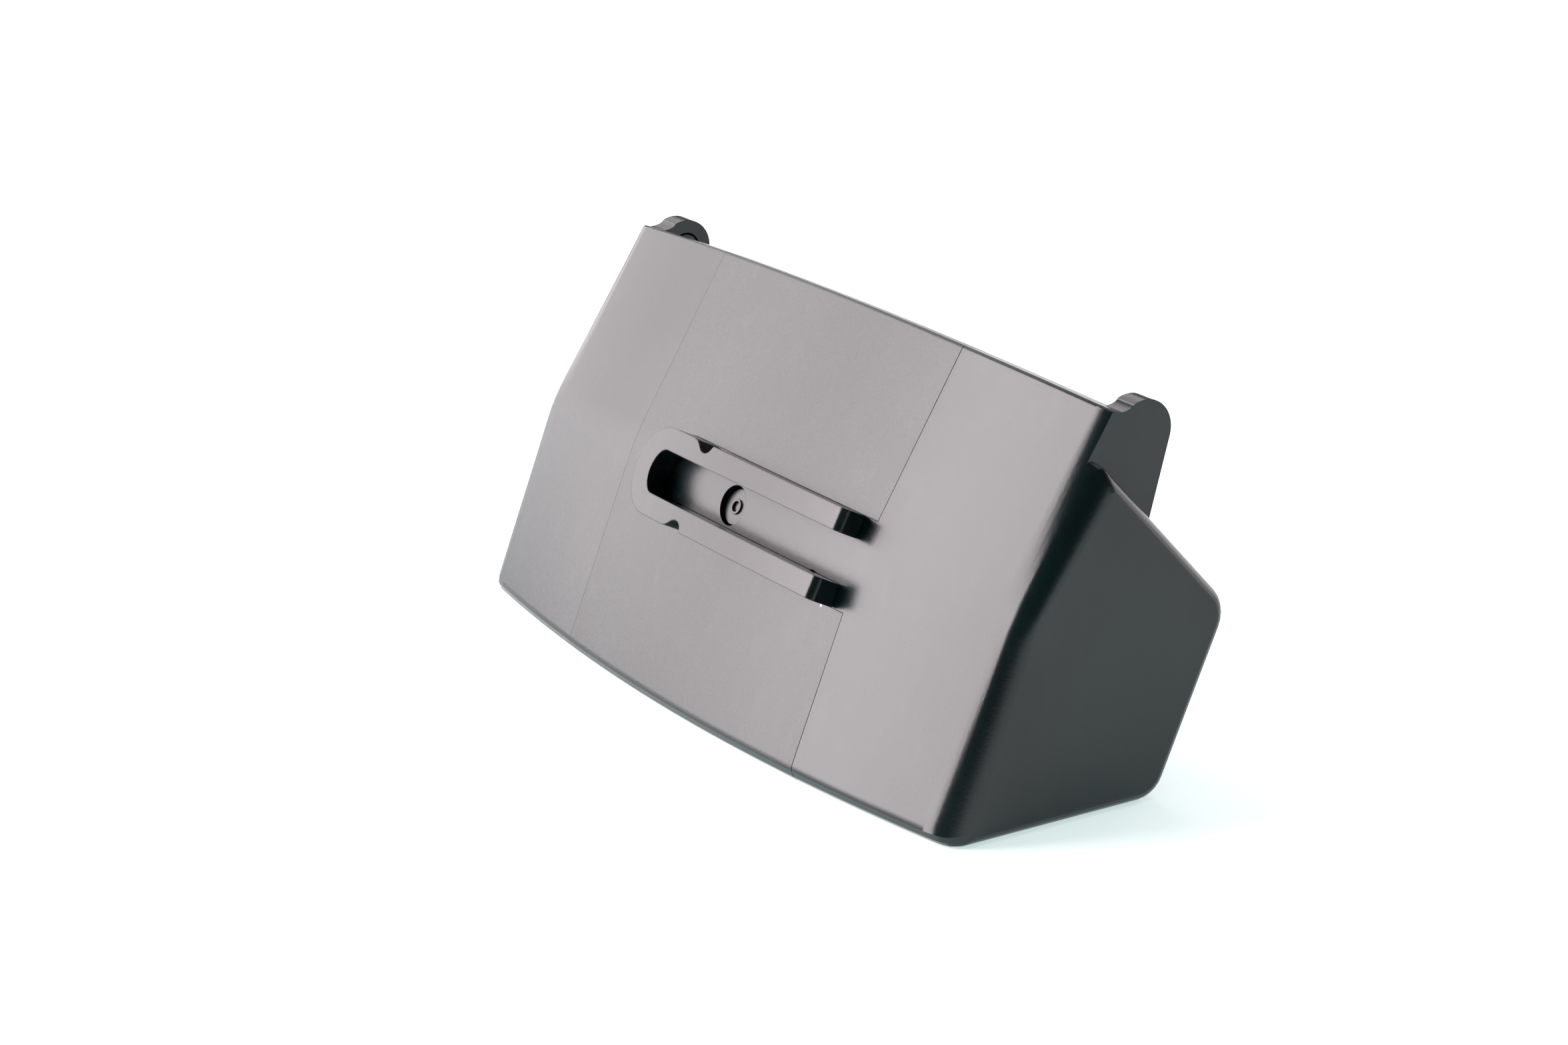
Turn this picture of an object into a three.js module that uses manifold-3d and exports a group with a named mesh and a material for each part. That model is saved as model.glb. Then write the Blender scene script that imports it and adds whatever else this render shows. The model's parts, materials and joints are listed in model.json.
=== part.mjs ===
// A wedge-shaped accessory mounting block with a U-shaped slide-on rail on its bowed front face and
// two pivot ears at its upper rear corners. Millimetres. The pieces are modelled in the face's own
// frame: X across the width, Y backwards, Z up along the face, with the origin on the line where the
// face bends. The last group leans that frame back until the base is level, so +Z is up.
import * as THREE from "three";
import { mergeVertices } from "three/addons/utils/BufferGeometryUtils.js";
import Module from "manifold-3d";

const wasm = await Module();
wasm.setup();
const DEG = Math.PI / 180;

// Driving dimensions of the block
const WIDTH = 120; // over the two cheeks
const FACE_TOP = 28.9; // bend line up to the top corner of the face, at the sides
const FACE_BOTTOM = 31.05; // bend line down to the bottom corner of the face, at the sides
const FACE_BEND = 4.7; // degrees that each flat of the face falls back from the bend line
const FACE_BOW = 4.9; // how far the middle of the face stands in front of its sides
const BEND_RADIUS = 30;
const TOP_CROWN = 1.1; // how far the middle of the top edge rises above its ends
const TOP_RISE = 5; // degrees that the top of the lip climbs backwards
const LEAN = 26.6; // degrees between the face's frame and the upright block
const DEPTH = 32.7; // bend line at the sides back to the rear wall
const REAR_TAPER = 2.4; // degrees that the rear wall leans towards the face
const SLOPE = 19.9; // degrees that the upper rear surface falls backwards
const SLOPE_HEIGHT = 23.26; // where the slope's line crosses Y = 0
const LIP = 4.4; // thickness of the lip that carries the face above the slope

// Edge roundings
// Upright corners between the face and the cheeks: at the bend line, and growing to the face's ends
const CORNER_ROUND = 2.4;
const CORNER_ROUND_TOP = 5;
const CORNER_ROUND_BOTTOM = 3.8;
const EDGE_ROUND = 1.9; // round the rest of each cheek, and along the front of the base
const TOP_ROUND = 0.6;
const REAR_TOP_ROUND = 5;
const REAR_BOTTOM_ROUND = 4.5;

// Walls and clearances
const WALL = 2.8;
const BACKING = 1.6; // housing wall behind the centre panel
const PANEL = 2.2; // thickness of the centre panel
const GAP = 0.3; // clearance between neighbouring pieces
const COVER = 2.4; // thickness of the rear cover

// Centre panel
const PANEL_HALF_WIDTH = 29;
const PANEL_MARGIN = 2; // how far the thicker wall behind the panel runs past it
const PANEL_STUD_X = 20;
const PANEL_STUD_R = 2.6;
const STUD_CLEARANCE = 0.55; // between a panel screw's head and the backing plate

// Slide rail
const RAIL_Z = -2.4; // centre line of the rail
const RAIL_HALF_WIDTH = 6.45;
const CHANNEL_HALF_WIDTH = 3.24;
const RAIL_HEIGHT = 3.7;
const RAIL_END_X = 27.2;
const RAIL_END_ROUND = 1.2;
const HEAD_X = -14.4; // where the straight sides run into the round head
const HEAD_REACH = 6.1; // length of the round head
const POCKET_REACH = 2.5; // length of the channel's round end
const NOTCH_X = -5.7;
const NOTCH_DEPTH = 1.4;
// The notch's edge: distance along the rail from its deepest point, and share of its depth
const NOTCH_EDGE = [
  [-3.4, 0],
  [-2.5, 0.1],
  [-1.8, 0.37],
  [-1.2, 0.71],
  [-0.6, 0.94],
  [0, 1],
  [0.6, 0.93],
  [1.15, 0.66],
  [1.5, 0.3],
  [1.75, 0],
];
const PEG_R = 1.5;
const PEG_X = [-12.5, 21];
const PEG_TO_PLATE = 1.2; // how far a peg passes into the backing plate

// Backing plate and lock pin
const PLATE = 1.5;
const PLATE_LEFT = -18;
const PLATE_RIGHT = 26;
const PLATE_OVERHANG = 1.3; // past the rail on each side
const PIN_HEAD_R = 2.57;
const PIN_HEAD = 1.8;
const PIN_SINK = 1; // from the channel's floor down to the pin's head
const PIN_STEM_R = 1.5;
const PIN_STEM_PAST = 3; // past the backing plate
const PIN_RING_R = 1.07;
const PIN_RING_WALL = 0.3;
const PIN_RING_HEIGHT = 0.25;
const NUT_R = 3.6;
const NUT_THICK = 1;

// Pivot ears and their bushes
const CHEEK_STEP = 2.7; // how far an ear stands in from its cheek
const EAR = 3.5; // thickness of an ear
const EAR_Y = 8.75;
const EAR_Z = 28.07;
const EAR_R = 4.31;
const EAR_FOOT_Y = 16.4; // rear edge of the ear where it enters the housing
const EAR_ROOT_Z = 12;
const EAR_ARC_END = 140; // degrees round from straight back, where the ear's top runs down to the lip
const EAR_LEAD = 2.2; // length of that run-down along the lip
const EAR_SWEEP = 1; // how far its curve is pulled above and behind the lip's corner
const BUSH_R = 2.1;
const BUSH_LENGTH = 2.2;
const KEY_SIZE = 2.4; // across the square socket in the bush

// Screws: radius of shank and head, head height, shank length
const RAIL_SCREW = { shank: 0.8, head: 2.2, height: 1.2, length: 5 };
const PANEL_SCREW = { shank: 1.1, head: 3.3, height: 1.6, length: 3.6 };
const COVER_SCREW = { shank: 1.25, head: 2.3, height: 1.3, length: 8 };
const COVER_SCREW_X = 45;
const COVER_SCREW_Z = [4.5, -6.5];
const COUNTERBORE = 1.5;
const BOSS_R = 4.2;
const BOSS_BACK = 0.2; // from a boss's end to the cover, besides the clearance
const INSERT_R = 2.4;
const INSERT_LENGTH = 5;

const HALF = WIDTH / 2;
const EAR_OUT = HALF - CHEEK_STEP;
const EAR_IN = EAR_OUT - EAR;
const BACKING_FACE = PANEL + GAP + BACKING;
const PLATE_REACH = RAIL_HALF_WIDTH + PLATE_OVERHANG;
const PANEL_STUD_Z = PLATE_REACH + PANEL_SCREW.head + STUD_CLEARANCE - RAIL_Z;
const SMALL = 0.1; // margin that keeps nearly touching faces apart, and the radius of a sharp corner
const BEYOND = 20; // past everything, where a cutting shape has no wall of its own

// ---- Solids -------------------------------------------------------------------------------------

function solid(geometry) {
  const bare = geometry.index ? geometry.toNonIndexed() : geometry.clone();
  bare.deleteAttribute("normal");
  bare.deleteAttribute("uv");
  const merged = mergeVertices(bare, 1e-4);
  return new wasm.Manifold(
    new wasm.Mesh({
      numProp: 3,
      vertProperties: merged.attributes.position.array,
      triVerts: new Uint32Array(merged.index.array),
    }),
  );
}

function geometryOf(shape) {
  const mesh = shape.getMesh();
  const geometry = new THREE.BufferGeometry();
  geometry.setAttribute("position", new THREE.BufferAttribute(mesh.vertProperties, 3));
  geometry.setIndex(new THREE.BufferAttribute(mesh.triVerts, 1));
  return geometry.toNonIndexed();
}

function box(x0, x1, y0, y1, z0, z1) {
  const geometry = new THREE.BoxGeometry(x1 - x0, y1 - y0, z1 - z0);
  geometry.translate((x0 + x1) / 2, (y0 + y1) / 2, (z0 + z1) / 2);
  return solid(geometry);
}

// A cylinder along Y from y0 to y1.
function rodY(radius, x, z, y0, y1, sides = 24) {
  const geometry = new THREE.CylinderGeometry(radius, radius, y1 - y0, sides);
  geometry.translate(x, (y0 + y1) / 2, z);
  return solid(geometry);
}

// A cylinder along X from x0 to x1.
function rodX(radius, x0, x1, y, z, sides = 28) {
  const geometry = new THREE.CylinderGeometry(radius, radius, Math.abs(x1 - x0), sides);
  geometry.rotateZ(Math.PI / 2);
  geometry.translate((x0 + x1) / 2, y, z);
  return solid(geometry);
}

// A cylinder along Z from z0 to z1.
function rodZ(radius, x, y, z0, z1) {
  const geometry = new THREE.CylinderGeometry(radius, radius, z1 - z0, 24);
  geometry.rotateX(Math.PI / 2);
  geometry.translate(x, y, (z0 + z1) / 2);
  return solid(geometry);
}

// A flat outline in X and Z, drawn out along Y from y0 to y1.
function plateXZ(shape, y0, y1, curveSegments = 10) {
  const geometry = new THREE.ExtrudeGeometry(shape, {
    depth: y1 - y0,
    bevelEnabled: false,
    curveSegments,
  });
  geometry.rotateX(Math.PI / 2);
  geometry.translate(0, y1, 0);
  return solid(geometry);
}

// A flat outline in Y and Z, drawn out along X from x0 to x1.
function plateYZ(shape, x0, x1, curveSegments = 10) {
  const geometry = new THREE.ExtrudeGeometry(shape, {
    depth: x1 - x0,
    bevelEnabled: false,
    curveSegments,
  });
  const turned = new THREE.Matrix4().makeBasis(
    new THREE.Vector3(0, 1, 0),
    new THREE.Vector3(0, 0, 1),
    new THREE.Vector3(1, 0, 0),
  );
  geometry.applyMatrix4(turned);
  geometry.translate(x0, 0, 0);
  return solid(geometry);
}

// ---- Side profiles ------------------------------------------------------------------------------
// A profile is a loop of directed lines in Y and Z with the material on their left, and a radius at
// the corner after each line.

function line(y, z, degrees) {
  return { y, z, dy: Math.cos(degrees * DEG), dz: Math.sin(degrees * DEG) };
}

function lineThrough([y0, z0], [y1, z1]) {
  const length = Math.hypot(y1 - y0, z1 - z0);
  return { y: y0, z: z0, dy: (y1 - y0) / length, dz: (z1 - z0) / length };
}

function inwards(l, distance) {
  return { ...l, y: l.y - l.dz * distance, z: l.z + l.dy * distance };
}

// The same line with the material on its other side.
function reversed(l) {
  return { ...l, dy: -l.dy, dz: -l.dz };
}

function meet(a, b) {
  const cross = a.dy * b.dz - a.dz * b.dy;
  const t = ((b.y - a.y) * b.dz - (b.z - a.z) * b.dy) / cross;
  return [a.y + a.dy * t, a.z + a.dz * t];
}

function roundedLoop(lines, radii, steps) {
  const points = [];
  lines.forEach((a, i) => {
    const b = lines[(i + 1) % lines.length];
    const [cy, cz] = meet(a, b);
    const turn = Math.atan2(a.dy * b.dz - a.dz * b.dy, a.dy * b.dy + a.dz * b.dz);
    const radius = Math.max(radii[i], 0.05);
    const tangent = radius * Math.abs(Math.tan(turn / 2));
    const side = Math.sign(turn);
    const centreY = cy - a.dy * tangent - a.dz * radius * side;
    const centreZ = cz - a.dz * tangent + a.dy * radius * side;
    for (let k = 0; k <= steps[i]; k++) {
      const angle = (turn * k) / steps[i];
      const ry = a.dz * radius * side;
      const rz = -a.dy * radius * side;
      points.push([
        centreY + ry * Math.cos(angle) - rz * Math.sin(angle),
        centreZ + ry * Math.sin(angle) + rz * Math.cos(angle),
      ]);
    }
  });
  return points;
}

// Joins one profile per station along X into a closed solid.
function loft(stations, profileAt) {
  const loops = stations.map(profileAt);
  const count = loops[0].length;
  const positions = [];
  const point = (s, k) => [stations[s], loops[s][k % count][0], loops[s][k % count][1]];
  const triangle = (a, b, c) => positions.push(...a, ...b, ...c);
  for (let s = 0; s + 1 < stations.length; s++)
    for (let k = 0; k < count; k++) {
      triangle(point(s, k), point(s, k + 1), point(s + 1, k));
      triangle(point(s, k + 1), point(s + 1, k + 1), point(s + 1, k));
    }
  const cap = (s, flip) => {
    const contour = loops[s].map(([y, z]) => new THREE.Vector2(y, z));
    for (const [a, b, c] of THREE.ShapeUtils.triangulateShape(contour, []))
      if (flip) triangle(point(s, a), point(s, c), point(s, b));
      else triangle(point(s, a), point(s, b), point(s, c));
  };
  cap(0, true);
  cap(stations.length - 1, false);
  const geometry = new THREE.BufferGeometry();
  geometry.setAttribute("position", new THREE.Float32BufferAttribute(positions, 3));
  return solid(geometry);
}

function evenly(from, to, count) {
  return Array.from({ length: count + 1 }, (_, i) => from + ((to - from) * i) / count);
}

const bow = (x) => FACE_BOW * (1 - (x / HALF) ** 2);
const crown = (x) => TOP_CROWN * (1 - (x / HALF) ** 2);
const fallBack = Math.tan(FACE_BEND * DEG);
// Where the face is at x and z, away from its rounded bend.
const faceY = (x, z) => Math.abs(z) * fallBack - bow(x);
// How far the wall behind the face rises over a screw head's radius.
const headTilt = (x, radius) => radius * (fallBack + (2 * FACE_BOW * Math.abs(x)) / HALF ** 2);
// How far a rounding of this radius has drawn the surface in, this far along the width.
const drawnIn = (x, radius) => {
  const into = Math.max(0, Math.abs(x) - (HALF - radius));
  return radius - Math.sqrt(radius ** 2 - Math.min(into, radius) ** 2);
};

const baseLine = line(FACE_BOTTOM * fallBack, -FACE_BOTTOM, LEAN);
const rearLine = line(DEPTH, 0, 90 + REAR_TAPER);
const slopeLine = line(0, SLOPE_HEIGHT, 180 - SLOPE);
// The face's two flats, drawn in near the cheeks by the corner roundings.
const faceBend = (x) => [-bow(x) + drawnIn(x, CORNER_ROUND), 0];
const faceUpper = (x) =>
  lineThrough([faceY(x, FACE_TOP) + drawnIn(x, CORNER_ROUND_TOP), FACE_TOP], faceBend(x));
const faceLower = (x) =>
  lineThrough(faceBend(x), [
    faceY(x, -FACE_BOTTOM) + drawnIn(x, CORNER_ROUND_BOTTOM),
    -FACE_BOTTOM,
  ]);
const topLine = (x) => {
  const z = FACE_TOP + crown(x);
  return line(faceY(x, z), z, 180 + TOP_RISE);
};
const lipLine = (x) => line(-bow(x) + LIP / Math.cos(FACE_BEND * DEG), 0, 90 - FACE_BEND);

// The whole outside between the ears, grown by a distance where another piece is cut to it.
function coreProfile(x, grow = 0, faceGrow = grow) {
  return roundedLoop(
    [
      inwards(baseLine, -grow),
      inwards(rearLine, -grow),
      inwards(slopeLine, -grow),
      inwards(lipLine(x), -grow),
      inwards(topLine(x), -grow),
      inwards(faceUpper(x), -faceGrow),
      inwards(faceLower(x), -faceGrow),
    ],
    [
      REAR_BOTTOM_ROUND,
      REAR_TOP_ROUND,
      1,
      TOP_ROUND,
      TOP_ROUND,
      BEND_RADIUS,
      EDGE_ROUND,
    ],
    [5, 5, 3, 2, 3, 4, 4],
  );
}

// A cheek's outside: no lip, and every edge rounded.
function cheekProfile(x) {
  const edge = drawnIn(x, EDGE_ROUND);
  return roundedLoop(
    [
      inwards(baseLine, edge),
      inwards(rearLine, edge),
      inwards(slopeLine, edge),
      faceUpper(x),
      faceLower(x),
    ],
    [REAR_BOTTOM_ROUND - edge, REAR_TOP_ROUND - edge, 1, BEND_RADIUS, EDGE_ROUND - edge * 0.6],
    [5, 5, 3, 4, 4],
  );
}

// The hollow: open through the slope and the rear, and stopped under the lip.
function hollowProfile(x) {
  const wall = Math.abs(x) < PANEL_HALF_WIDTH + PANEL_MARGIN ? BACKING_FACE : WALL;
  return roundedLoop(
    [
      inwards(baseLine, WALL),
      inwards(rearLine, -BEYOND),
      inwards(slopeLine, -BEYOND),
      reversed(lipLine(x)),
      inwards(slopeLine, WALL),
      inwards(faceUpper(x), wall),
      inwards(faceLower(x), wall),
    ],
    [0.1, 0.1, 0.1, 0.1, 0.3, BEND_RADIUS - wall, 1],
    [1, 1, 1, 1, 1, 4, 2],
  );
}

// ---- Outlines -----------------------------------------------------------------------------------

// The ear's outline, grown where the cover is cut back from it.
function earShape(grow) {
  const radius = EAR_R + grow;
  const shape = new THREE.Shape();
  const rise = EAR_Z - EAR_ROOT_Z;
  const reach = EAR_FOOT_Y + grow - EAR_Y;
  const distance = Math.hypot(reach, rise);
  const tangent = Math.acos(radius / distance) + Math.atan2(-rise, reach);
  shape.moveTo(FACE_BOTTOM * fallBack, EAR_ROOT_Z - grow);
  shape.lineTo(EAR_FOOT_Y + grow, EAR_ROOT_Z - grow);
  shape.lineTo(EAR_Y + radius * Math.cos(tangent), EAR_Z + radius * Math.sin(tangent));
  const lipBack = LIP + EAR_SWEEP;
  shape.absarc(EAR_Y, EAR_Z, radius, tangent, EAR_ARC_END * DEG, false);
  shape.quadraticCurveTo(lipBack, FACE_TOP + EAR_SWEEP, lipBack - EAR_LEAD, FACE_TOP);
  shape.closePath();
  return shape;
}

// The outline that the rail and the tongue under it share, with or without the detent notches.
function railOuter(shape, half, notched) {
  const notch = (side) =>
    NOTCH_EDGE.map(
      ([along, share]) =>
        new THREE.Vector2(NOTCH_X + along, RAIL_Z + side * (half - share * NOTCH_DEPTH)),
    );
  shape.moveTo(RAIL_END_X, RAIL_Z + half);
  if (notched) {
    const upper = notch(1).reverse();
    shape.lineTo(upper[0].x, upper[0].y);
    shape.splineThru(upper.slice(1));
  }
  shape.lineTo(HEAD_X, RAIL_Z + half);
  const grow = half - RAIL_HALF_WIDTH;
  shape.absellipse(HEAD_X, RAIL_Z, HEAD_REACH + grow, half, Math.PI / 2, (3 * Math.PI) / 2, false);
  if (notched) {
    const lower = notch(-1);
    shape.lineTo(lower[0].x, lower[0].y);
    shape.splineThru(lower.slice(1));
  }
  shape.lineTo(RAIL_END_X, RAIL_Z - half);
}

function railShape() {
  const shape = new THREE.Shape();
  railOuter(shape, RAIL_HALF_WIDTH, true);
  const pocket = HEAD_X + 0.3;
  shape.lineTo(RAIL_END_X, RAIL_Z - CHANNEL_HALF_WIDTH);
  shape.lineTo(pocket, RAIL_Z - CHANNEL_HALF_WIDTH);
  shape.absellipse(
    pocket,
    RAIL_Z,
    POCKET_REACH,
    CHANNEL_HALF_WIDTH,
    (3 * Math.PI) / 2,
    Math.PI / 2,
    true,
  );
  shape.lineTo(RAIL_END_X, RAIL_Z + CHANNEL_HALF_WIDTH);
  shape.closePath();
  return shape;
}

// The centre panel's outline: a C that leaves the tongue under the rail to the housing.
function panelShape(halfWidth, slotHalf) {
  const far = 60;
  const grow = slotHalf - RAIL_HALF_WIDTH;
  const shape = new THREE.Shape();
  shape.moveTo(halfWidth, RAIL_Z + slotHalf);
  shape.lineTo(halfWidth, far);
  shape.lineTo(-halfWidth, far);
  shape.lineTo(-halfWidth, -far);
  shape.lineTo(halfWidth, -far);
  shape.lineTo(halfWidth, RAIL_Z - slotHalf);
  shape.lineTo(HEAD_X, RAIL_Z - slotHalf);
  shape.absellipse(
    HEAD_X,
    RAIL_Z,
    HEAD_REACH + grow,
    slotHalf,
    (3 * Math.PI) / 2,
    Math.PI / 2,
    true,
  );
  shape.closePath();
  return shape;
}

// ---- Pieces -------------------------------------------------------------------------------------

const bothSides = [-1, 1];
const cornerStart = HALF - CORNER_ROUND_TOP;
const cornerSteps = evenly(cornerStart, EAR_OUT, 3);
const coreStations = [
  ...cornerSteps.map((x) => -x).reverse(),
  ...evenly(-cornerStart, cornerStart, 18).slice(1, -1),
  ...cornerSteps,
];
// Stations where either rounding has turned through another step, from the ear's side outwards.
const turns = [0, 15, 30, 45, 60, 75].map((angle) => 1 - Math.sin(angle * DEG));
const cheekStations = [CHEEK_STEP, 0]
  .concat(turns.flatMap((share) => [share * CORNER_ROUND, share * EDGE_ROUND]))
  .sort((a, b) => b - a)
  .map((inset) => HALF - inset);

function outside() {
  let block = loft(coreStations, (x) => coreProfile(x));
  for (const side of bothSides) {
    const stations = side > 0 ? cheekStations : cheekStations.map((x) => -x).reverse();
    block = block.add(loft(stations, cheekProfile));
  }
  return block;
}

const pegPlaces = PEG_X.flatMap((x) =>
  bothSides.map((side) => ({ x, z: RAIL_Z + (side * (RAIL_HALF_WIDTH + CHANNEL_HALF_WIDTH)) / 2 })),
);
const studPlaces = bothSides.flatMap((up) =>
  bothSides.map((side) => ({ x: side * PANEL_STUD_X, z: up * PANEL_STUD_Z })),
);
const coverPlaces = bothSides.flatMap((side) =>
  COVER_SCREW_Z.map((z) => ({ x: side * COVER_SCREW_X, z })),
);
const rearInside = (z) =>
  DEPTH - z * Math.tan(REAR_TAPER * DEG) - COVER / Math.cos(REAR_TAPER * DEG);
const bossEnd = (z) => rearInside(z) - GAP - BOSS_BACK;

// The panel's block: the outer layer of the face and of the lip's top, inside the C outline.
function panelLayer(halfWidth, slotHalf, thickness) {
  const stations = evenly(-halfWidth - 2, halfWidth + 2, 10);
  const under = loft(stations, (x) =>
    roundedLoop(
      [
        inwards(baseLine, -BEYOND),
        inwards(rearLine, -BEYOND),
        inwards(topLine(x), thickness),
        inwards(faceUpper(x), thickness),
        inwards(faceLower(x), thickness),
      ],
      [0.1, 0.1, 0.1, BEND_RADIUS - thickness, 0.1],
      [1, 1, 1, 4, 1],
    ),
  );
  return plateXZ(panelShape(halfWidth, slotHalf), -30, 30, 8).subtract(under);
}

function housing() {
  let body = outside();
  const step = PANEL_HALF_WIDTH + PANEL_MARGIN;
  const leftStations = [
    ...evenly(WALL - HALF, -step, 3),
    ...evenly(SMALL - step, 0, 4).slice(0, -1),
  ];
  const rightStations = leftStations.map((x) => -x).reverse();
  body = body.subtract(loft([...leftStations, 0, ...rightStations], hollowProfile));
  for (const side of bothSides) {
    const outer = side * EAR_OUT;
    const inside = side * EAR_IN;
    body = body.add(plateYZ(earShape(0), Math.min(outer, inside), Math.max(outer, inside)));
    const socketEnd = side * (EAR_IN + BUSH_LENGTH + GAP + 0.1);
    body = body.subtract(rodX(BUSH_R + GAP, side * (EAR_IN - 1), socketEnd, EAR_Y, EAR_Z));
  }
  body = body.subtract(panelLayer(PANEL_HALF_WIDTH + GAP, RAIL_HALF_WIDTH, PANEL + GAP));
  for (const { x, z } of coverPlaces) {
    body = body.add(rodY(BOSS_R, x, z, faceY(x, z) + 1, bossEnd(z)));
    const bore = rodY(INSERT_R + GAP, x, z, bossEnd(z) - INSERT_LENGTH - 1.2, bossEnd(z) + 1);
    body = body.subtract(bore).subtract(
      rodY(COVER_SCREW.shank + GAP, x, z, bossEnd(z) - COVER_SCREW.length - 2, bossEnd(z)),
    );
  }
  for (const { x, z } of studPlaces) body = body.subtract(rodY(PANEL_STUD_R + GAP, x, z, -8, 12));
  for (const { x, z } of pegPlaces) body = body.subtract(rodY(PEG_R + GAP, x, z, -10, 8));
  return body.subtract(rodY(PIN_HEAD_R + GAP, 0, RAIL_Z, -10, 4, 36));
}

function centrePanel() {
  const slot = RAIL_HALF_WIDTH + GAP;
  const stations = evenly(-PANEL_HALF_WIDTH - 1, PANEL_HALF_WIDTH + 1, 12);
  let panel = loft(stations, (x) => coreProfile(x)).intersect(
    panelLayer(PANEL_HALF_WIDTH, slot, PANEL),
  );
  const belowBase = inwards(baseLine, 0.01);
  panel = panel.subtract(
    loft([-HALF, HALF], () =>
      roundedLoop(
        [
          line(0, -80, 0),
          line(80, 0, 90),
          reversed(belowBase),
          line(-80, 0, -90),
        ],
        [0.1, 0.1, 0.1, 0.1],
        [1, 1, 1, 1],
      ),
    ),
  );
  for (const { x, z } of studPlaces) {
    const start = faceY(x, z) + PANEL - 0.5;
    const end = faceY(x, z) + BACKING_FACE - 0.1;
    panel = panel.add(rodY(PANEL_STUD_R, x, z, start, end));
    panel = panel.subtract(rodY(PANEL_SCREW.shank + GAP, x, z, start - 0.9, end + 1));
  }
  return panel;
}

function slideRail() {
  const stations = evenly(-26, 32, 12);
  // The slab from the rail's top down past the face, bowed like the face.
  const slab = loft(stations, (x) =>
    roundedLoop(
      [
        line(0, RAIL_Z - 12, 0),
        line(12, 0, 90),
        line(0, RAIL_Z + 12, 180),
        line(-bow(x) - RAIL_HEIGHT, 0, -90),
      ],
      [0.1, 0.1, 0.1, 0.1],
      [1, 1, 1, 1],
    ),
  );
  const end = RAIL_END_X - RAIL_END_ROUND;
  const top = -bow(end) - RAIL_HEIGHT + RAIL_END_ROUND;
  const round = rodZ(RAIL_END_ROUND, end, top, RAIL_Z - 12, RAIL_Z + 12);
  const cornerBox = box(end, RAIL_END_X + 1, top - 6, top, RAIL_Z - 12, RAIL_Z + 12);
  let rail = plateXZ(railShape(), -16, 6, 9).intersect(slab).subtract(cornerBox.subtract(round));
  rail = rail.subtract(loft(stations, (x) => coreProfile(x, 0, GAP)));
  for (const { x, z } of pegPlaces) {
    const end = faceY(x, z) + BACKING_FACE + GAP + PEG_TO_PLATE;
    rail = rail.add(rodY(PEG_R, x, z, faceY(x, z) - 1, end));
    rail = rail.subtract(rodY(RAIL_SCREW.shank + GAP, x, z, end - RAIL_SCREW.length, end + 1));
  }
  return rail;
}

const plateFront = BACKING_FACE + GAP;
const plateBackY = (x, z) => faceY(x, z) + plateFront + PLATE + SMALL;

function backingPlate() {
  const back = plateFront + PLATE;
  let plate = loft(evenly(PLATE_LEFT, PLATE_RIGHT, 8), (x) => {
    return roundedLoop(
      [
        line(0, RAIL_Z - PLATE_REACH, 0),
        reversed(inwards(faceLower(x), back)),
        reversed(inwards(faceUpper(x), back)),
        line(0, RAIL_Z + PLATE_REACH, 180),
        inwards(faceUpper(x), plateFront),
        inwards(faceLower(x), plateFront),
      ],
      [0.1, BEND_RADIUS - back, 0.1, 0.1, BEND_RADIUS - plateFront, 0.1],
      [1, 4, 1, 1, 4, 1],
    );
  });
  for (const { x, z } of pegPlaces) plate = plate.subtract(rodY(PEG_R + GAP, x, z, -8, 9));
  return plate.subtract(rodY(PIN_STEM_R + GAP, 0, RAIL_Z, -8, 9));
}

const pinFace = -FACE_BOW + PIN_SINK;

function lockPin() {
  const stemEnd = plateBackY(0, RAIL_Z) + PIN_STEM_PAST;
  let pin = rodY(PIN_HEAD_R, 0, RAIL_Z, pinFace, pinFace + PIN_HEAD, 36);
  pin = pin.add(rodY(PIN_STEM_R, 0, RAIL_Z, pinFace + 1, stemEnd));
  const ring = rodY(PIN_RING_R, 0, RAIL_Z, pinFace - PIN_RING_HEIGHT, pinFace + 0.4);
  pin = pin.add(ring);
  return pin.subtract(
    rodY(PIN_RING_R - PIN_RING_WALL, 0, RAIL_Z, pinFace - 1, pinFace + 0.1),
  );
}

function pushNut() {
  const start = plateBackY(0, RAIL_Z) + GAP;
  const nut = rodY(NUT_R, 0, RAIL_Z, start, start + NUT_THICK);
  return nut.subtract(rodY(PIN_STEM_R + GAP, 0, RAIL_Z, start - 1, start + 3));
}

// A screw along Y whose head's seat is at y and whose shank points forwards.
function screw({ shank, head, height, length }, x, z, y) {
  let piece = rodY(head, x, z, y, y + height);
  piece = piece.add(rodY(shank, x, z, y - length, y + 0.2, 16));
  const socket = new THREE.CylinderGeometry(head * 0.45, head * 0.45, height, 6);
  socket.translate(x, y + height, z);
  return piece.subtract(solid(socket));
}

function rearCover() {
  const inner = HALF - WALL - GAP;
  const coverStations = evenly(-inner, inner, 14);
  const behind = (l, distance) => inwards(reversed(l), -distance);
  let cover = loft(coverStations, (x) =>
    roundedLoop(
      [
        inwards(baseLine, WALL + GAP),
        rearLine,
        slopeLine,
        inwards(reversed(lipLine(x)), GAP + SMALL),
        behind(slopeLine, COVER),
        behind(rearLine, COVER),
      ],
      [0.3, REAR_TOP_ROUND, 0.3, 0.3, REAR_TOP_ROUND - COVER, 0.3],
      [1, 5, 1, 1, 5, 1],
    ),
  );
  for (const side of bothSides) {
    const a = side * (EAR_IN - GAP);
    const b = side * (HALF + 1);
    cover = cover.subtract(plateYZ(earShape(GAP), Math.min(a, b), Math.max(a, b)));
  }
  for (const { x, z } of coverPlaces) {
    const y = rearInside(z);
    cover = cover.subtract(rodY(COVER_SCREW.shank + GAP, x, z, y - 2, y + 6));
    const seat = y + COVER - COUNTERBORE;
    cover = cover.subtract(rodY(COVER_SCREW.head + GAP, x, z, seat, y + 8));
  }
  return cover;
}

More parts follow.
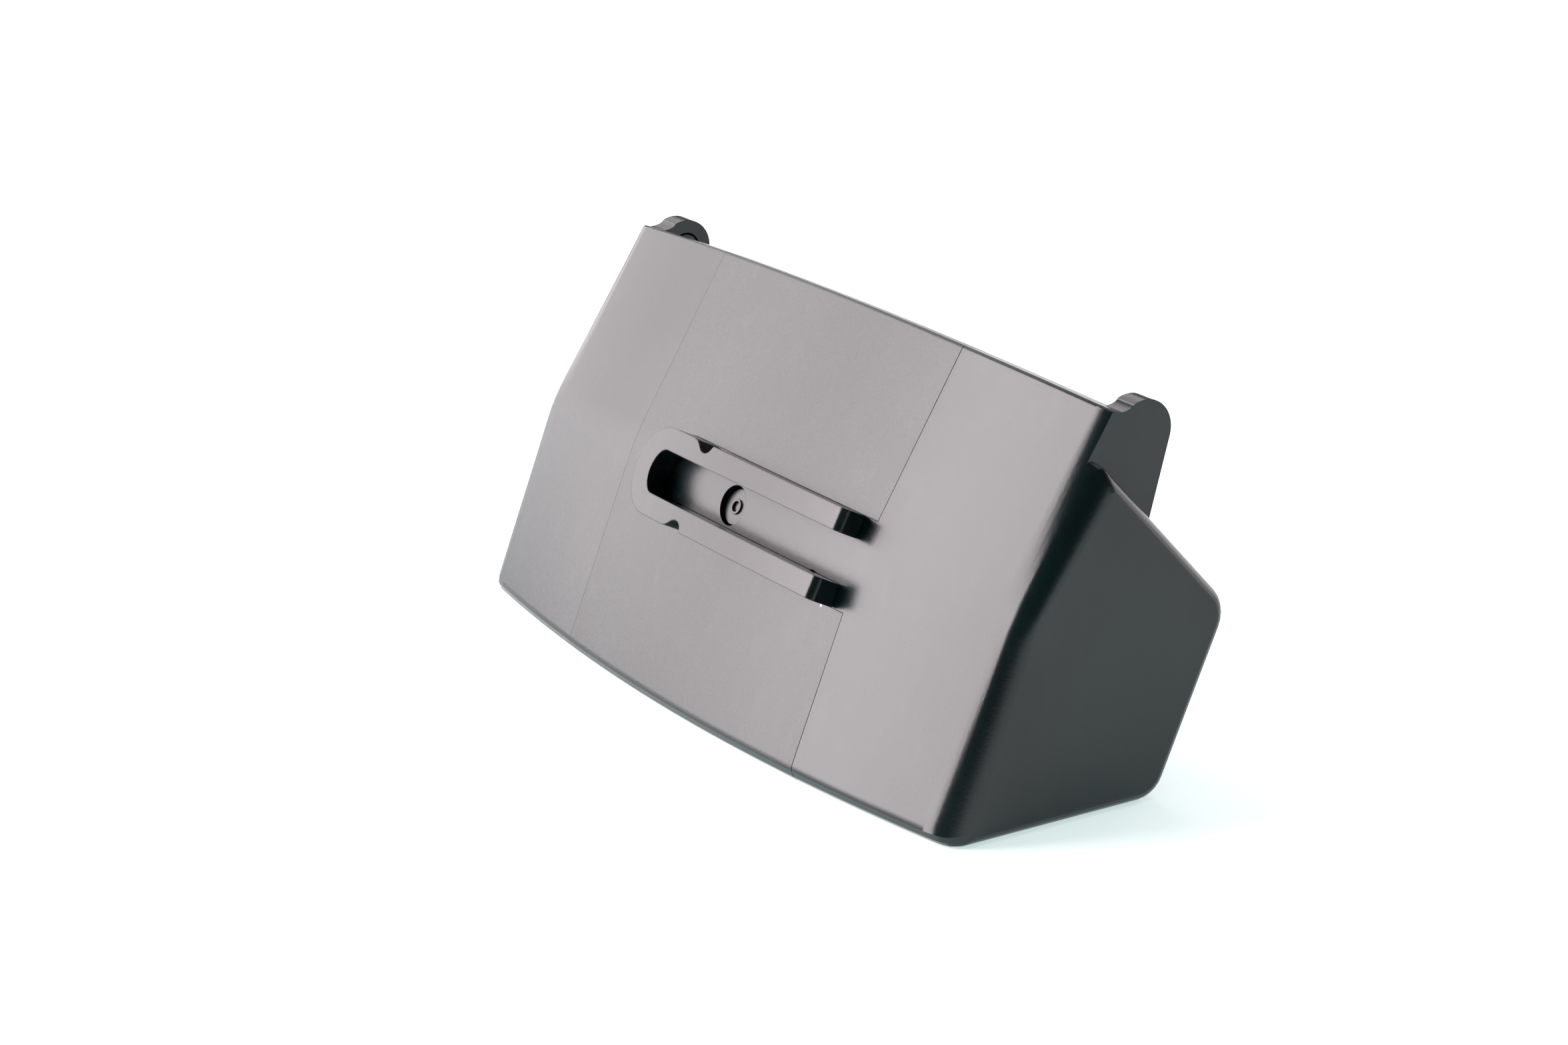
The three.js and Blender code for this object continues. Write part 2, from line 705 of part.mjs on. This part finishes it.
function insert(x, z) {
  const end = bossEnd(z) - 0.2;
  const sleeve = rodY(INSERT_R, x, z, end - INSERT_LENGTH, end, 20);
  return sleeve.subtract(
    rodY(COVER_SCREW.shank + GAP, x, z, end - INSERT_LENGTH - 1, end + 1, 16),
  );
}

function pivotBush(side) {
  const start = side * EAR_IN;
  const end = side * (EAR_IN + BUSH_LENGTH);
  const bush = rodX(BUSH_R, start, end, EAR_Y, EAR_Z);
  const key = KEY_SIZE / 2;
  const a = start - side;
  const b = end - side * 0.6;
  return bush.subtract(
    box(Math.min(a, b), Math.max(a, b), EAR_Y - key, EAR_Y + key, EAR_Z - key, EAR_Z + key),
  );
}

// ---- Assembly -----------------------------------------------------------------------------------

const finish = {
  blackPlastic: { color: 0x17191a, roughness: 0.42, metalness: 0 },
  steel: { color: 0x9a9c9e, roughness: 0.35, metalness: 1 },
  brass: { color: 0xb08d45, roughness: 0.35, metalness: 1 },
  acetal: { color: 0x101112, roughness: 0.3, metalness: 0 },
};

// The leaned frame's own lowest point is the base, and its middle front to back is found from the
// outside of the housing.
const leaned = outside().rotate([-LEAN, 0, 0]).boundingBox();

const block = new THREE.Group();
block.rotation.x = -LEAN * DEG;
block.position.set(0, -(leaned.min[1] + leaned.max[1]) / 2, -leaned.min[2]);

function place(name, piece, look) {
  const mesh = new THREE.Mesh(geometryOf(piece), new THREE.MeshStandardMaterial(finish[look]));
  mesh.name = name;
  block.add(mesh);
}

place("housing", housing(), "blackPlastic");
place("centre_panel", centrePanel(), "blackPlastic");
place("slide_rail", slideRail(), "blackPlastic");
place("rear_cover", rearCover(), "blackPlastic");
place("backing_plate", backingPlate(), "steel");
place("rail_lock_pin", lockPin(), "acetal");
place("lock_pin_push_nut", pushNut(), "steel");
place("pivot_bush_left", pivotBush(-1), "acetal");
place("pivot_bush_right", pivotBush(1), "acetal");
pegPlaces.forEach(({ x, z }, i) => {
  const seat = plateBackY(x, z) + SMALL + headTilt(x, RAIL_SCREW.head);
  place(`rail_screw_${i + 1}`, screw(RAIL_SCREW, x, z, seat), "steel");
});
studPlaces.forEach(({ x, z }, i) => {
  const seat = faceY(x, z) + BACKING_FACE + GAP + headTilt(x, PANEL_SCREW.head);
  place(`panel_screw_${i + 1}`, screw(PANEL_SCREW, x, z, seat), "steel");
});
coverPlaces.forEach(({ x, z }, i) => {
  place(`cover_insert_${i + 1}`, insert(x, z), "brass");
  const seat = rearInside(z) + COVER - COUNTERBORE + GAP;
  place(`cover_screw_${i + 1}`, screw(COVER_SCREW, x, z, seat), "steel");
});

const assembly = new THREE.Group();
assembly.add(block);
export default assembly;
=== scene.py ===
# A wedge-shaped accessory mounting block in black moulded plastic: bowed front face with a
# U-shaped slide-on rail, two pivot ears at the upper rear corners, a screwed rear cover and its
# inner hardware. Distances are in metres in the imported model's frame, unless a comment says not.
import json
import math

import bmesh
import bpy
from mathutils import Matrix, Vector

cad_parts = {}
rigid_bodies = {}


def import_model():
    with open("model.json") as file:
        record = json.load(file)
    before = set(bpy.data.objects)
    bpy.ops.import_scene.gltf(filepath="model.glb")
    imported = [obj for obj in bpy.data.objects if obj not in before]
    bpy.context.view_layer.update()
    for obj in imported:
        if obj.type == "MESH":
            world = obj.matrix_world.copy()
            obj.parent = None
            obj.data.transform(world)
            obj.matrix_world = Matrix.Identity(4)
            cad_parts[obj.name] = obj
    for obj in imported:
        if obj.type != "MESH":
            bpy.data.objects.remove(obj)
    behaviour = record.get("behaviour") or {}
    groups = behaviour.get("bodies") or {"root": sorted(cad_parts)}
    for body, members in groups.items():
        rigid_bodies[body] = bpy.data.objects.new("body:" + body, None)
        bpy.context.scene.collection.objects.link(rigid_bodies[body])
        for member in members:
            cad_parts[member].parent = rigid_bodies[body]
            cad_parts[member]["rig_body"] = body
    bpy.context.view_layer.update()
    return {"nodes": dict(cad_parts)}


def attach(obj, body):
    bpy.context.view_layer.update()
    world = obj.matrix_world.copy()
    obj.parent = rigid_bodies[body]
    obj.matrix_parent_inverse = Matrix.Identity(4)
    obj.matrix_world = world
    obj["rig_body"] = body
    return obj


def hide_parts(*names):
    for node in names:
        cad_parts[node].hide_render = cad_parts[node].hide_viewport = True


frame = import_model()

MM = 0.001
scene = bpy.context.scene


# ---- Camera, floor and light ---------------------------------------------------------------------

CAMERA_PLACE = (0.40851, -0.27206, 0.18936)
CAMERA_RIGHT = (0.54591, 0.83784, 0.00250)
CAMERA_AHEAD = (-0.79347, 0.51795, -0.31957)
FLOOR_HALF = 6.0
LIT_MIDDLE = (0, 0, 0.028)
SOFTBOX_COLOUR = (1.0, 0.915, 0.935)
ROOM_COLOUR, ROOM_STRENGTH = (0.7, 1.0, 1.0, 1), 0.04
PAPER_COLOUR = (0.93, 0.92, 0.925, 1)
PAPER_GLOW, PAPER_GLOW_STRENGTH = (0.82, 1.0, 0.99, 1), 0.62


def place_camera():
    data = bpy.data.cameras.new("studio_camera")
    data.lens = 85
    data.sensor_width = 36
    data.clip_start = 0.01
    camera = bpy.data.objects.new("studio_camera", data)
    right = Vector(CAMERA_RIGHT).normalized()
    ahead = Vector(CAMERA_AHEAD).normalized()
    up = right.cross(ahead)
    turn = Matrix((right, up, -ahead)).transposed()
    camera.matrix_world = Matrix.Translation(CAMERA_PLACE) @ turn.to_4x4()
    scene.collection.objects.link(camera)
    scene.camera = camera


def principled(material):
    return next(n for n in material.node_tree.nodes if n.type == "BSDF_PRINCIPLED")


def lay_floor():
    mesh = bpy.data.meshes.new("floor")
    signs = [(-1, -1), (1, -1), (1, 1), (-1, 1)]
    corners = [(FLOOR_HALF * x, FLOOR_HALF * y, 0) for x, y in signs]
    mesh.from_pydata(corners, [], [(0, 1, 2, 3)])
    floor = bpy.data.objects.new("floor", mesh)
    scene.collection.objects.link(floor)
    paper = bpy.data.materials.new("white_paper")
    paper.use_nodes = True
    shader = principled(paper)
    shader.inputs["Base Color"].default_value = PAPER_COLOUR
    shader.inputs["Roughness"].default_value = 0.9
    shader.inputs["Specular IOR Level"].default_value = 0.1
    shader.inputs["Emission Color"].default_value = PAPER_GLOW
    shader.inputs["Emission Strength"].default_value = PAPER_GLOW_STRENGTH
    mesh.materials.append(paper)


def hang_light(name, place, target, size, power):
    data = bpy.data.lights.new(name, "AREA")
    data.shape = "RECTANGLE"
    data.size, data.size_y = size
    data.energy = power
    data.color = SOFTBOX_COLOUR
    light = bpy.data.objects.new(name, data)
    light.location = place
    light.rotation_euler = (target - place).to_track_quat("-Z", "Y").to_euler()
    scene.collection.objects.link(light)


# Name, degrees round from straight ahead towards the left, degrees up, distance, size, watts
SOFT_SOURCES = [
    ("front_left_softbox", 31, 17, 1.1, (0.54, 0.95), 18.2),
    ("left_softbox", 55, 17, 1.1, (0.43, 0.95), 8.3),
    ("far_left_softbox", 80, 14, 1.1, (0.60, 0.95), 6.9),
    ("back_left_softbox", 114, 33, 1.5, (1.0, 0.75), 5.0),
    ("overhead_softbox", 170, 76, 1.3, (1.3, 1.3), 6.0),
    ("backdrop_softbox", 180, 12, 2.6, (4.5, 1.5), 55.0),
]


def light_studio():
    """A dark room with big soft sources; past the floor the camera sees white paper."""
    world = bpy.data.worlds.new("studio")
    world.use_nodes = True
    w = Wiring(world.node_tree)
    room = world.node_tree.nodes["Background"]
    room.inputs["Color"].default_value = ROOM_COLOUR
    room.inputs["Strength"].default_value = ROOM_STRENGTH
    paper = w.add("ShaderNodeBackground")
    paper.inputs["Color"].default_value = (1, 1, 1, 1)
    seen = w.add("ShaderNodeMixShader")
    w.join(w.add("ShaderNodeLightPath").outputs["Is Camera Ray"], seen.inputs[0])
    w.join(room.outputs[0], seen.inputs[1])
    w.join(paper.outputs[0], seen.inputs[2])
    end = next(n for n in world.node_tree.nodes if n.type == "OUTPUT_WORLD")
    w.join(seen.outputs[0], end.inputs["Surface"])
    scene.world = world
    scene.view_settings.view_transform = "Standard"
    middle = Vector(LIT_MIDDLE)
    for name, azimuth, elevation, distance, size, power in SOFT_SOURCES:
        a, e = math.radians(azimuth), math.radians(elevation)
        level = math.cos(e)
        away = Vector((-math.sin(a) * level, -math.cos(a) * level, math.sin(e)))
        hang_light(name, middle + away * distance, middle, size, power)


# ---- Shader node groups --------------------------------------------------------------------------

class Wiring:
    """Adds and joins nodes in one node tree."""

    def __init__(self, tree):
        self.tree = tree

    def add(self, kind, **settings):
        node = self.tree.nodes.new(kind)
        for key, value in settings.items():
            setattr(node, key, value)
        return node

    def join(self, source, target):
        self.tree.links.new(source, target)

    def feed(self, socket, value):
        if isinstance(value, bpy.types.NodeSocket):
            self.join(value, socket)
        else:
            socket.default_value = value

    def noise(self, where, scale, detail=2.0, roughness=0.5, distortion=0.0):
        node = self.add("ShaderNodeTexNoise")
        self.feed(node.inputs["Vector"], where)
        self.feed(node.inputs["Scale"], scale)
        node.inputs["Detail"].default_value = detail
        node.inputs["Roughness"].default_value = roughness
        node.inputs["Distortion"].default_value = distortion
        return node.outputs["Fac"]

    def ramp(self, value, low, high, bottom=0.0, top=1.0):
        node = self.add("ShaderNodeMapRange", interpolation_type="SMOOTHSTEP")
        self.feed(node.inputs["Value"], value)
        self.feed(node.inputs["From Min"], low)
        self.feed(node.inputs["From Max"], high)
        self.feed(node.inputs["To Min"], bottom)
        self.feed(node.inputs["To Max"], top)
        return node.outputs["Result"]

    def math(self, operation, a, b=0.0, clamp=False):
        node = self.add("ShaderNodeMath", operation=operation, use_clamp=clamp)
        self.feed(node.inputs[0], a)
        self.feed(node.inputs[1], b)
        return node.outputs[0]

    def stretch(self, where, scale):
        node = self.add("ShaderNodeMapping")
        self.feed(node.inputs["Vector"], where)
        node.inputs["Scale"].default_value = scale
        return node.outputs["Vector"]


def new_group(name, inputs, outputs):
    """An empty shader node group; inputs are (name, type, default), outputs are (name, type)."""
    tree = bpy.data.node_groups.new(name, "ShaderNodeTree")
    for socket, kind, default in inputs:
        made = tree.interface.new_socket(socket, in_out="INPUT", socket_type=kind)
        if default is not None:
            made.default_value = default
    for socket, kind in outputs:
        tree.interface.new_socket(socket, in_out="OUTPUT", socket_type=kind)
    wiring = Wiring(tree)
    return wiring, wiring.add("NodeGroupInput").outputs, wiring.add("NodeGroupOutput").inputs


FLOAT, VECTOR = "NodeSocketFloat", "NodeSocketVector"
COARSE_GRAIN = 0.37  # its scale as a share of the fine grain's
PEEL_SCALE = 420.0
SEED_STEP = {"X": 0.137, "Y": 0.211, "Z": 0.211}
SMUDGE_SCALE = 48.0
STREAK_SCALE = (380, 380, 26)
DUST_CELLS = 150.0
DUST_RADIUS = 0.05  # the largest speck, as a share of its cell
DUST_CHOSEN_ABOVE = 0.82


def make_moulded_grain():
    """Spark-eroded mould texture over a slow orange-peel swell, as one height."""
    w, given, out = new_group(
        "moulded_grain",
        [("Vector", VECTOR, None), ("Grain Size", FLOAT, 0.2), ("Swell", FLOAT, 0.25)],
        [("Height", FLOAT), ("Speckle", FLOAT)],
    )
    scale = w.math("DIVIDE", 1000.0, given["Grain Size"])
    fine = w.noise(given["Vector"], scale, 3.0, 0.65)
    coarse = w.noise(given["Vector"], w.math("MULTIPLY", scale, COARSE_GRAIN), 2.0, 0.5)
    peel = w.noise(given["Vector"], PEEL_SCALE, 1.0, 0.4)
    grain = w.math("ADD", w.math("MULTIPLY", fine, 0.65), w.math("MULTIPLY", coarse, 0.35))
    height = w.math("ADD", grain, w.math("MULTIPLY", peel, given["Swell"]))
    w.join(height, out["Height"])
    w.join(w.ramp(fine, 0.62, 0.78), out["Speckle"])
    return w.tree


def make_handling():
    """Smudges from fingers, soft rub streaks and scattered dust, each as a mask."""
    w, given, out = new_group(
        "handling_marks",
        [("Vector", VECTOR, None), ("Seed", FLOAT, 0.0), ("Dust Size", FLOAT, 0.35)],
        [("Smudge", FLOAT), ("Streak", FLOAT), ("Dust", FLOAT)],
    )
    shift = w.add("ShaderNodeCombineXYZ")
    for axis, step in SEED_STEP.items():
        w.join(w.math("MULTIPLY", given["Seed"], step), shift.inputs[axis])
    moved = w.add("ShaderNodeVectorMath", operation="ADD")
    w.join(given["Vector"], moved.inputs[0])
    w.join(shift.outputs[0], moved.inputs[1])
    where = moved.outputs[0]
    patch = w.noise(where, SMUDGE_SCALE, 2.0, 0.4)
    w.join(w.ramp(patch, 0.48, 0.70), out["Smudge"])
    streaks = w.noise(w.stretch(where, STREAK_SCALE), 1.0, 3.0, 0.6)
    w.join(w.ramp(streaks, 0.50, 0.78), out["Streak"])
    cells = w.add("ShaderNodeTexVoronoi", feature="F1", distance="EUCLIDEAN")
    w.join(where, cells.inputs["Vector"])
    cells.inputs["Scale"].default_value = DUST_CELLS
    cells.inputs["Randomness"].default_value = 1.0
    apart = w.add("ShaderNodeSeparateColor")
    w.join(cells.outputs["Color"], apart.inputs["Color"])
    share = w.math("MULTIPLY", apart.outputs["Red"], DUST_RADIUS)
    radius = w.math("MULTIPLY", given["Dust Size"], share)
    spot = w.math("LESS_THAN", cells.outputs["Distance"], radius)
    chosen = w.math("GREATER_THAN", apart.outputs["Green"], DUST_CHOSEN_ABOVE)
    w.join(w.math("MULTIPLY", spot, chosen), out["Dust"])
    return w.tree


GRAIN = make_moulded_grain()
HANDLING = make_handling()


def start_material(name):
    material = bpy.data.materials.new(name)
    material.use_nodes = True
    w = Wiring(material.node_tree)
    where = w.add("ShaderNodeTexCoord").outputs["Object"]
    return material, w, principled(material), where


def use_group(w, group, **values):
    node = w.add("ShaderNodeGroup", node_tree=group)
    for key, value in values.items():
        w.feed(node.inputs[key.replace("_", " ")], value)
    return node.outputs


def mix(w, factor, a, b):
    node = w.add("ShaderNodeMix", data_type="RGBA")
    w.feed(node.inputs["Factor"], factor)
    w.feed(node.inputs["A"], a)
    w.feed(node.inputs["B"], b)
    return node.outputs["Result"]


STREAK_COLOUR = (0.030, 0.036, 0.037, 1)
DUST_COLOUR = (0.55, 0.54, 0.53, 1)
METAL_DUST_COLOUR = (0.5, 0.5, 0.48, 1)
PLASTIC_IOR = 1.46


def shade(colour, by):
    return tuple(c * by for c in colour) + (1,)


def moulded_plastic(
    name, colour, roughness, seed, grain=0.2, relief=0.012, swell=0.25, edge=0.12
):
    """Black engineering plastic straight from the mould; grain, relief and edge in millimetres."""
    material, w, shader, where = start_material(name)
    texture = use_group(w, GRAIN, Vector=where, Grain_Size=grain, Swell=swell)
    marks = use_group(w, HANDLING, Vector=where, Seed=seed, Dust_Size=0.9)
    cloud = w.noise(where, 35.0, 3.0, 0.5)
    base = mix(w, w.ramp(cloud, 0.35, 0.65), shade(colour, 1), shade(colour, 1.25))
    base = mix(w, w.math("MULTIPLY", marks["Smudge"], 0.7), base, shade(colour, 0.4))
    base = mix(w, w.math("MULTIPLY", marks["Streak"], 0.20), base, STREAK_COLOUR)
    base = mix(w, w.math("MULTIPLY", marks["Dust"], 0.75), base, DUST_COLOUR)
    w.join(base, shader.inputs["Base Color"])
    rough = w.math("ADD", roughness, w.math("MULTIPLY", marks["Smudge"], 0.008))
    rough = w.math("ADD", rough, w.math("MULTIPLY", marks["Streak"], -0.015))
    rough = w.math("ADD", rough, w.math("MULTIPLY", texture["Speckle"], 0.10), clamp=True)
    w.join(rough, shader.inputs["Roughness"])
    bump = w.add("ShaderNodeBump")
    bump.inputs["Strength"].default_value = 1.0
    bump.inputs["Distance"].default_value = relief * MM
    w.join(texture["Height"], bump.inputs["Height"])
    broken = w.add("ShaderNodeBevel", samples=4)
    broken.inputs["Radius"].default_value = edge * MM
    w.join(broken.outputs["Normal"], bump.inputs["Normal"])
    w.join(bump.outputs["Normal"], shader.inputs["Normal"])
    shader.inputs["IOR"].default_value = PLASTIC_IOR
    return material


def turned_metal(name, colour, roughness, scale=2500.0, tarnish=(0.2, 0.19, 0.17)):
    """Plated or sheet metal with fine drawing lines and dull patches."""
    material, w, shader, where = start_material(name)
    lines = w.noise(w.stretch(where, (scale, scale * 0.08, scale)), 1.0, 3.0, 0.6)
    patches = w.noise(where, 240.0, 4.0, 0.6)
    marks = use_group(w, HANDLING, Vector=where, Seed=3.0, Dust_Size=0.6)
    base = mix(w, w.ramp(patches, 0.48, 0.72, 0.0, 0.35), colour + (1,), tarnish + (1,))
    base = mix(w, w.math("MULTIPLY", marks["Dust"], 0.5), base, METAL_DUST_COLOUR)
    w.join(base, shader.inputs["Base Color"])
    rough = w.math("ADD", roughness, w.ramp(patches, 0.4, 0.8, 0.0, 0.18))
    w.join(w.math("ADD", rough, w.math("MULTIPLY", lines, 0.08)), shader.inputs["Roughness"])
    shader.inputs["Metallic"].default_value = 1.0
    bump = w.add("ShaderNodeBump")
    bump.inputs["Strength"].default_value = 0.6
    bump.inputs["Distance"].default_value = 0.01 * MM
    w.join(lines, bump.inputs["Height"])
    w.join(bump.outputs["Normal"], shader.inputs["Normal"])
    return material


FINISHES = {
    "housing_plastic": moulded_plastic(
        "housing_plastic", (0.0030, 0.0100, 0.0105), 0.23, seed=1.0, relief=0.020, edge=0.10
    ),
    "panel_plastic": moulded_plastic(
        "panel_plastic",
        (0.0035, 0.0100, 0.0105),
        0.27,
        seed=2.0,
        grain=0.26,
        relief=0.026,
        edge=0.06,
    ),
    "rail_plastic": moulded_plastic(
        "rail_plastic", (0.0025, 0.0070, 0.0070), 0.22, seed=4.0, relief=0.014, edge=0.26
    ),
    "cover_plastic": moulded_plastic(
        "cover_plastic", (0.0080, 0.0140, 0.0145), 0.40, seed=5.0, grain=0.34, relief=0.03
    ),
    "acetal": moulded_plastic(
        "acetal", (0.0060, 0.0095, 0.0100), 0.28, seed=6.0, grain=0.15, relief=0.006, swell=0.1
    ),
    "zinc_steel": turned_metal("zinc_steel", (0.62, 0.63, 0.64), 0.26),
    "plate_steel": turned_metal("plate_steel", (0.50, 0.51, 0.52), 0.34, 1600.0),
    "brass": turned_metal("brass", (0.80, 0.60, 0.28), 0.24, 3200.0, (0.30, 0.20, 0.09)),
}


# ---- Pieces --------------------------------------------------------------------------------------

# The face's own frame, leaned back, with its origin midway between the bend line's two ends
LEAN = math.radians(26.6)
COS_LEAN, SIN_LEAN = math.cos(LEAN), math.sin(LEAN)
FACE_Y, FACE_Z = -8.5473 * MM, 28.9065 * MM

# The bowed and slightly bent face, with corner roundings that grow from the bend to its ends
HALF_WIDTH = 60 * MM
FACE_BOW = 4.9 * MM
BEND_SLOPE = math.tan(math.radians(4.7))
BEND_HALF = 2.46 * MM  # half the length of the bend's rounding
BEND_ROUND = 2.4 * MM
UPPER_END, UPPER_ROUND = 28.9 * MM, 5.0 * MM
LOWER_END, LOWER_ROUND = 31.05 * MM, 3.8 * MM
CORNER_FROM = 55.0 * MM
FULL_TURN = 0.9995  # share of a rounding's radius at which its slope is capped

# A facet belongs to the face if it lies this near it and turns no further from it than this cosine
CORNER_DEPTH, CORNER_AGREES = 0.3 * MM, 0.87
FACE_AGREES = 0.9996

# The centre panel's outline, and the clearance round it that is closed up
PANEL_SIDE = 29 * MM
RAIL_Z, SLOT_HALF = -2.4 * MM, 6.75 * MM
HEAD_X, HEAD_REACH = -14.4 * MM, 6.4 * MM
SEAM_CLOSED_BY = 0.24 * MM
ON_SIDE, ON_SLOT, ON_HEAD = 0.02 * MM, 0.03 * MM, 0.006

SMOOTH_BELOW = math.radians(24)
FLAT_BELOW = math.radians(0.3)
SAME_POINT, NO_LENGTH = 2e-6, 1e-6


def to_face(y, z):
    """A point's distance behind the face's origin and up along the face."""
    y, z = y - FACE_Y, z - FACE_Z
    return y * COS_LEAN - z * SIN_LEAN, y * SIN_LEAN + z * COS_LEAN


def turned_back(back, up):
    """Y and Z of a direction given in the face's frame."""
    return back * COS_LEAN + up * SIN_LEAN, up * COS_LEAN - back * SIN_LEAN


def close_seam(mesh):
    """Lets the panel's edges out into their clearance, so that only a hairline of it shows."""
    for vertex in mesh.vertices:
        x, y, z = vertex.co
        back, up = to_face(y, z)
        if abs(abs(x) - PANEL_SIDE) < ON_SIDE:
            x += math.copysign(SEAM_CLOSED_BY, x)
        ahead = x - HEAD_X
        off = up - RAIL_Z
        reach = math.hypot(ahead / HEAD_REACH, off / SLOT_HALF)
        if ahead >= 0 and abs(abs(off) - SLOT_HALF) < ON_SLOT:
            up = RAIL_Z + math.copysign(SLOT_HALF - SEAM_CLOSED_BY, off)
        elif ahead < 0 and abs(reach - 1) < ON_HEAD:
            shrink = 1 - SEAM_CLOSED_BY / SLOT_HALF
            x, up = HEAD_X + ahead * shrink, RAIL_Z + off * shrink
        y, z = turned_back(back, up)
        vertex.co = (x, y + FACE_Y, z + FACE_Z)


def drawn_in(x, radius):
    """How far a corner rounding has drawn the face in at x, and how steeply."""
    into = min(max(0.0, abs(x) - (HALF_WIDTH - radius)), radius * FULL_TURN)
    left = math.sqrt(radius**2 - into**2)
    return radius - left, math.copysign(into / left, x)


def front_at(point, bent):
    """Distance behind the face, and its outward normal; a rail's top is bowed but not bent."""
    depth, up = to_face(point.y, point.z)
    front = -FACE_BOW * (1 - (point.x / HALF_WIDTH) ** 2)
    across = 2 * FACE_BOW * point.x / HALF_WIDTH**2
    along = 0.0
    if bent:
        end, end_round = (UPPER_END, UPPER_ROUND) if up > 0 else (LOWER_END, LOWER_ROUND)
        share = min(1.0, abs(up) / end)
        near, near_slope = drawn_in(point.x, BEND_ROUND)
        far, far_slope = drawn_in(point.x, end_round)
        front += abs(up) * BEND_SLOPE + near + (far - near) * share
        across += near_slope + (far_slope - near_slope) * share
        along = (BEND_SLOPE + (far - near) / end) * max(-1.0, min(1.0, up / BEND_HALF))
    normal = Vector((across, -1, along)).normalized()
    return depth - front, Vector((normal.x, *turned_back(normal.y, normal.z)))


def front_kind(face):
    """True for a facet of the bent face, False for one of a rail's top, None for any other."""
    for bent in (True, False):
        behind, normal = front_at(face.center, bent)
        agrees = face.normal.dot(normal)
        in_corner = bent and abs(face.center.x) > CORNER_FROM
        if in_corner and abs(behind) < CORNER_DEPTH and agrees > CORNER_AGREES:
            return bent
        if not in_corner and agrees > FACE_AGREES and abs(face.center.x) < CORNER_FROM:
            return bent
    return None


def set_normals(mesh):
    """Smooth across shallow edges, weighted by area, and exact on the bowed front surfaces."""
    limit = math.cos(SMOOTH_BELOW)
    faces = mesh.polygons
    around = [[] for _ in mesh.vertices]
    for face in faces:
        for vertex in face.vertices:
            around[vertex].append(face.index)
    normals = []
    for face in faces:
        kind = front_kind(face)
        for vertex in face.vertices:
            if kind is not None:
                normals.append(front_at(mesh.vertices[vertex].co, kind)[1])
                continue
            total = Vector((0, 0, 0))
            for other in around[vertex]:
                if faces[other].normal.dot(face.normal) > limit:
                    total += faces[other].normal * faces[other].area
            normals.append(total.normalized() if total.length > 0 else face.normal.copy())
    mesh.normals_split_custom_set(normals)


def refine(node, slot):
    """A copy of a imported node, cleaned of slivers and smoothly shaded, which stands for it."""
    source = frame["nodes"][node]
    mesh = source.data.copy()
    mesh.name = f"{node}_moulding"
    work = bmesh.new()
    work.from_mesh(mesh)
    bmesh.ops.remove_doubles(work, verts=work.verts, dist=SAME_POINT)
    bmesh.ops.dissolve_degenerate(work, edges=work.edges, dist=NO_LENGTH)
    bmesh.ops.dissolve_limit(
        work, angle_limit=FLAT_BELOW, verts=work.verts, edges=work.edges, delimit=set()
    )
    work.to_mesh(mesh)
    work.free()
    if node == "centre_panel":
        close_seam(mesh)
    piece = bpy.data.objects.new(f"{node}_moulding", mesh)
    scene.collection.objects.link(piece)
    mesh.materials.clear()
    mesh.materials.append(FINISHES[slot])
    for face in mesh.polygons:
        face.use_smooth = True
        face.material_index = 0
    set_normals(mesh)
    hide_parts(node)
    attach(piece, source["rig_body"])


def finish_node(node, slot):
    source = frame["nodes"][node]
    for place in source.material_slots:
        place.material = FINISHES[slot]


REFINED = {
    "housing": "housing_plastic",
    "centre_panel": "panel_plastic",
    "slide_rail": "rail_plastic",
    "rear_cover": "cover_plastic",
    "rail_lock_pin": "acetal",
    "pivot_bush_left": "acetal",
    "pivot_bush_right": "acetal",
}

place_camera()
lay_floor()
light_studio()

for node, slot in REFINED.items():
    refine(node, slot)

for node in frame["nodes"]:
    if node in REFINED:
        continue
    if node.startswith("cover_insert"):
        finish_node(node, "brass")
    elif node == "backing_plate":
        finish_node(node, "plate_steel")
    else:
        finish_node(node, "zinc_steel")
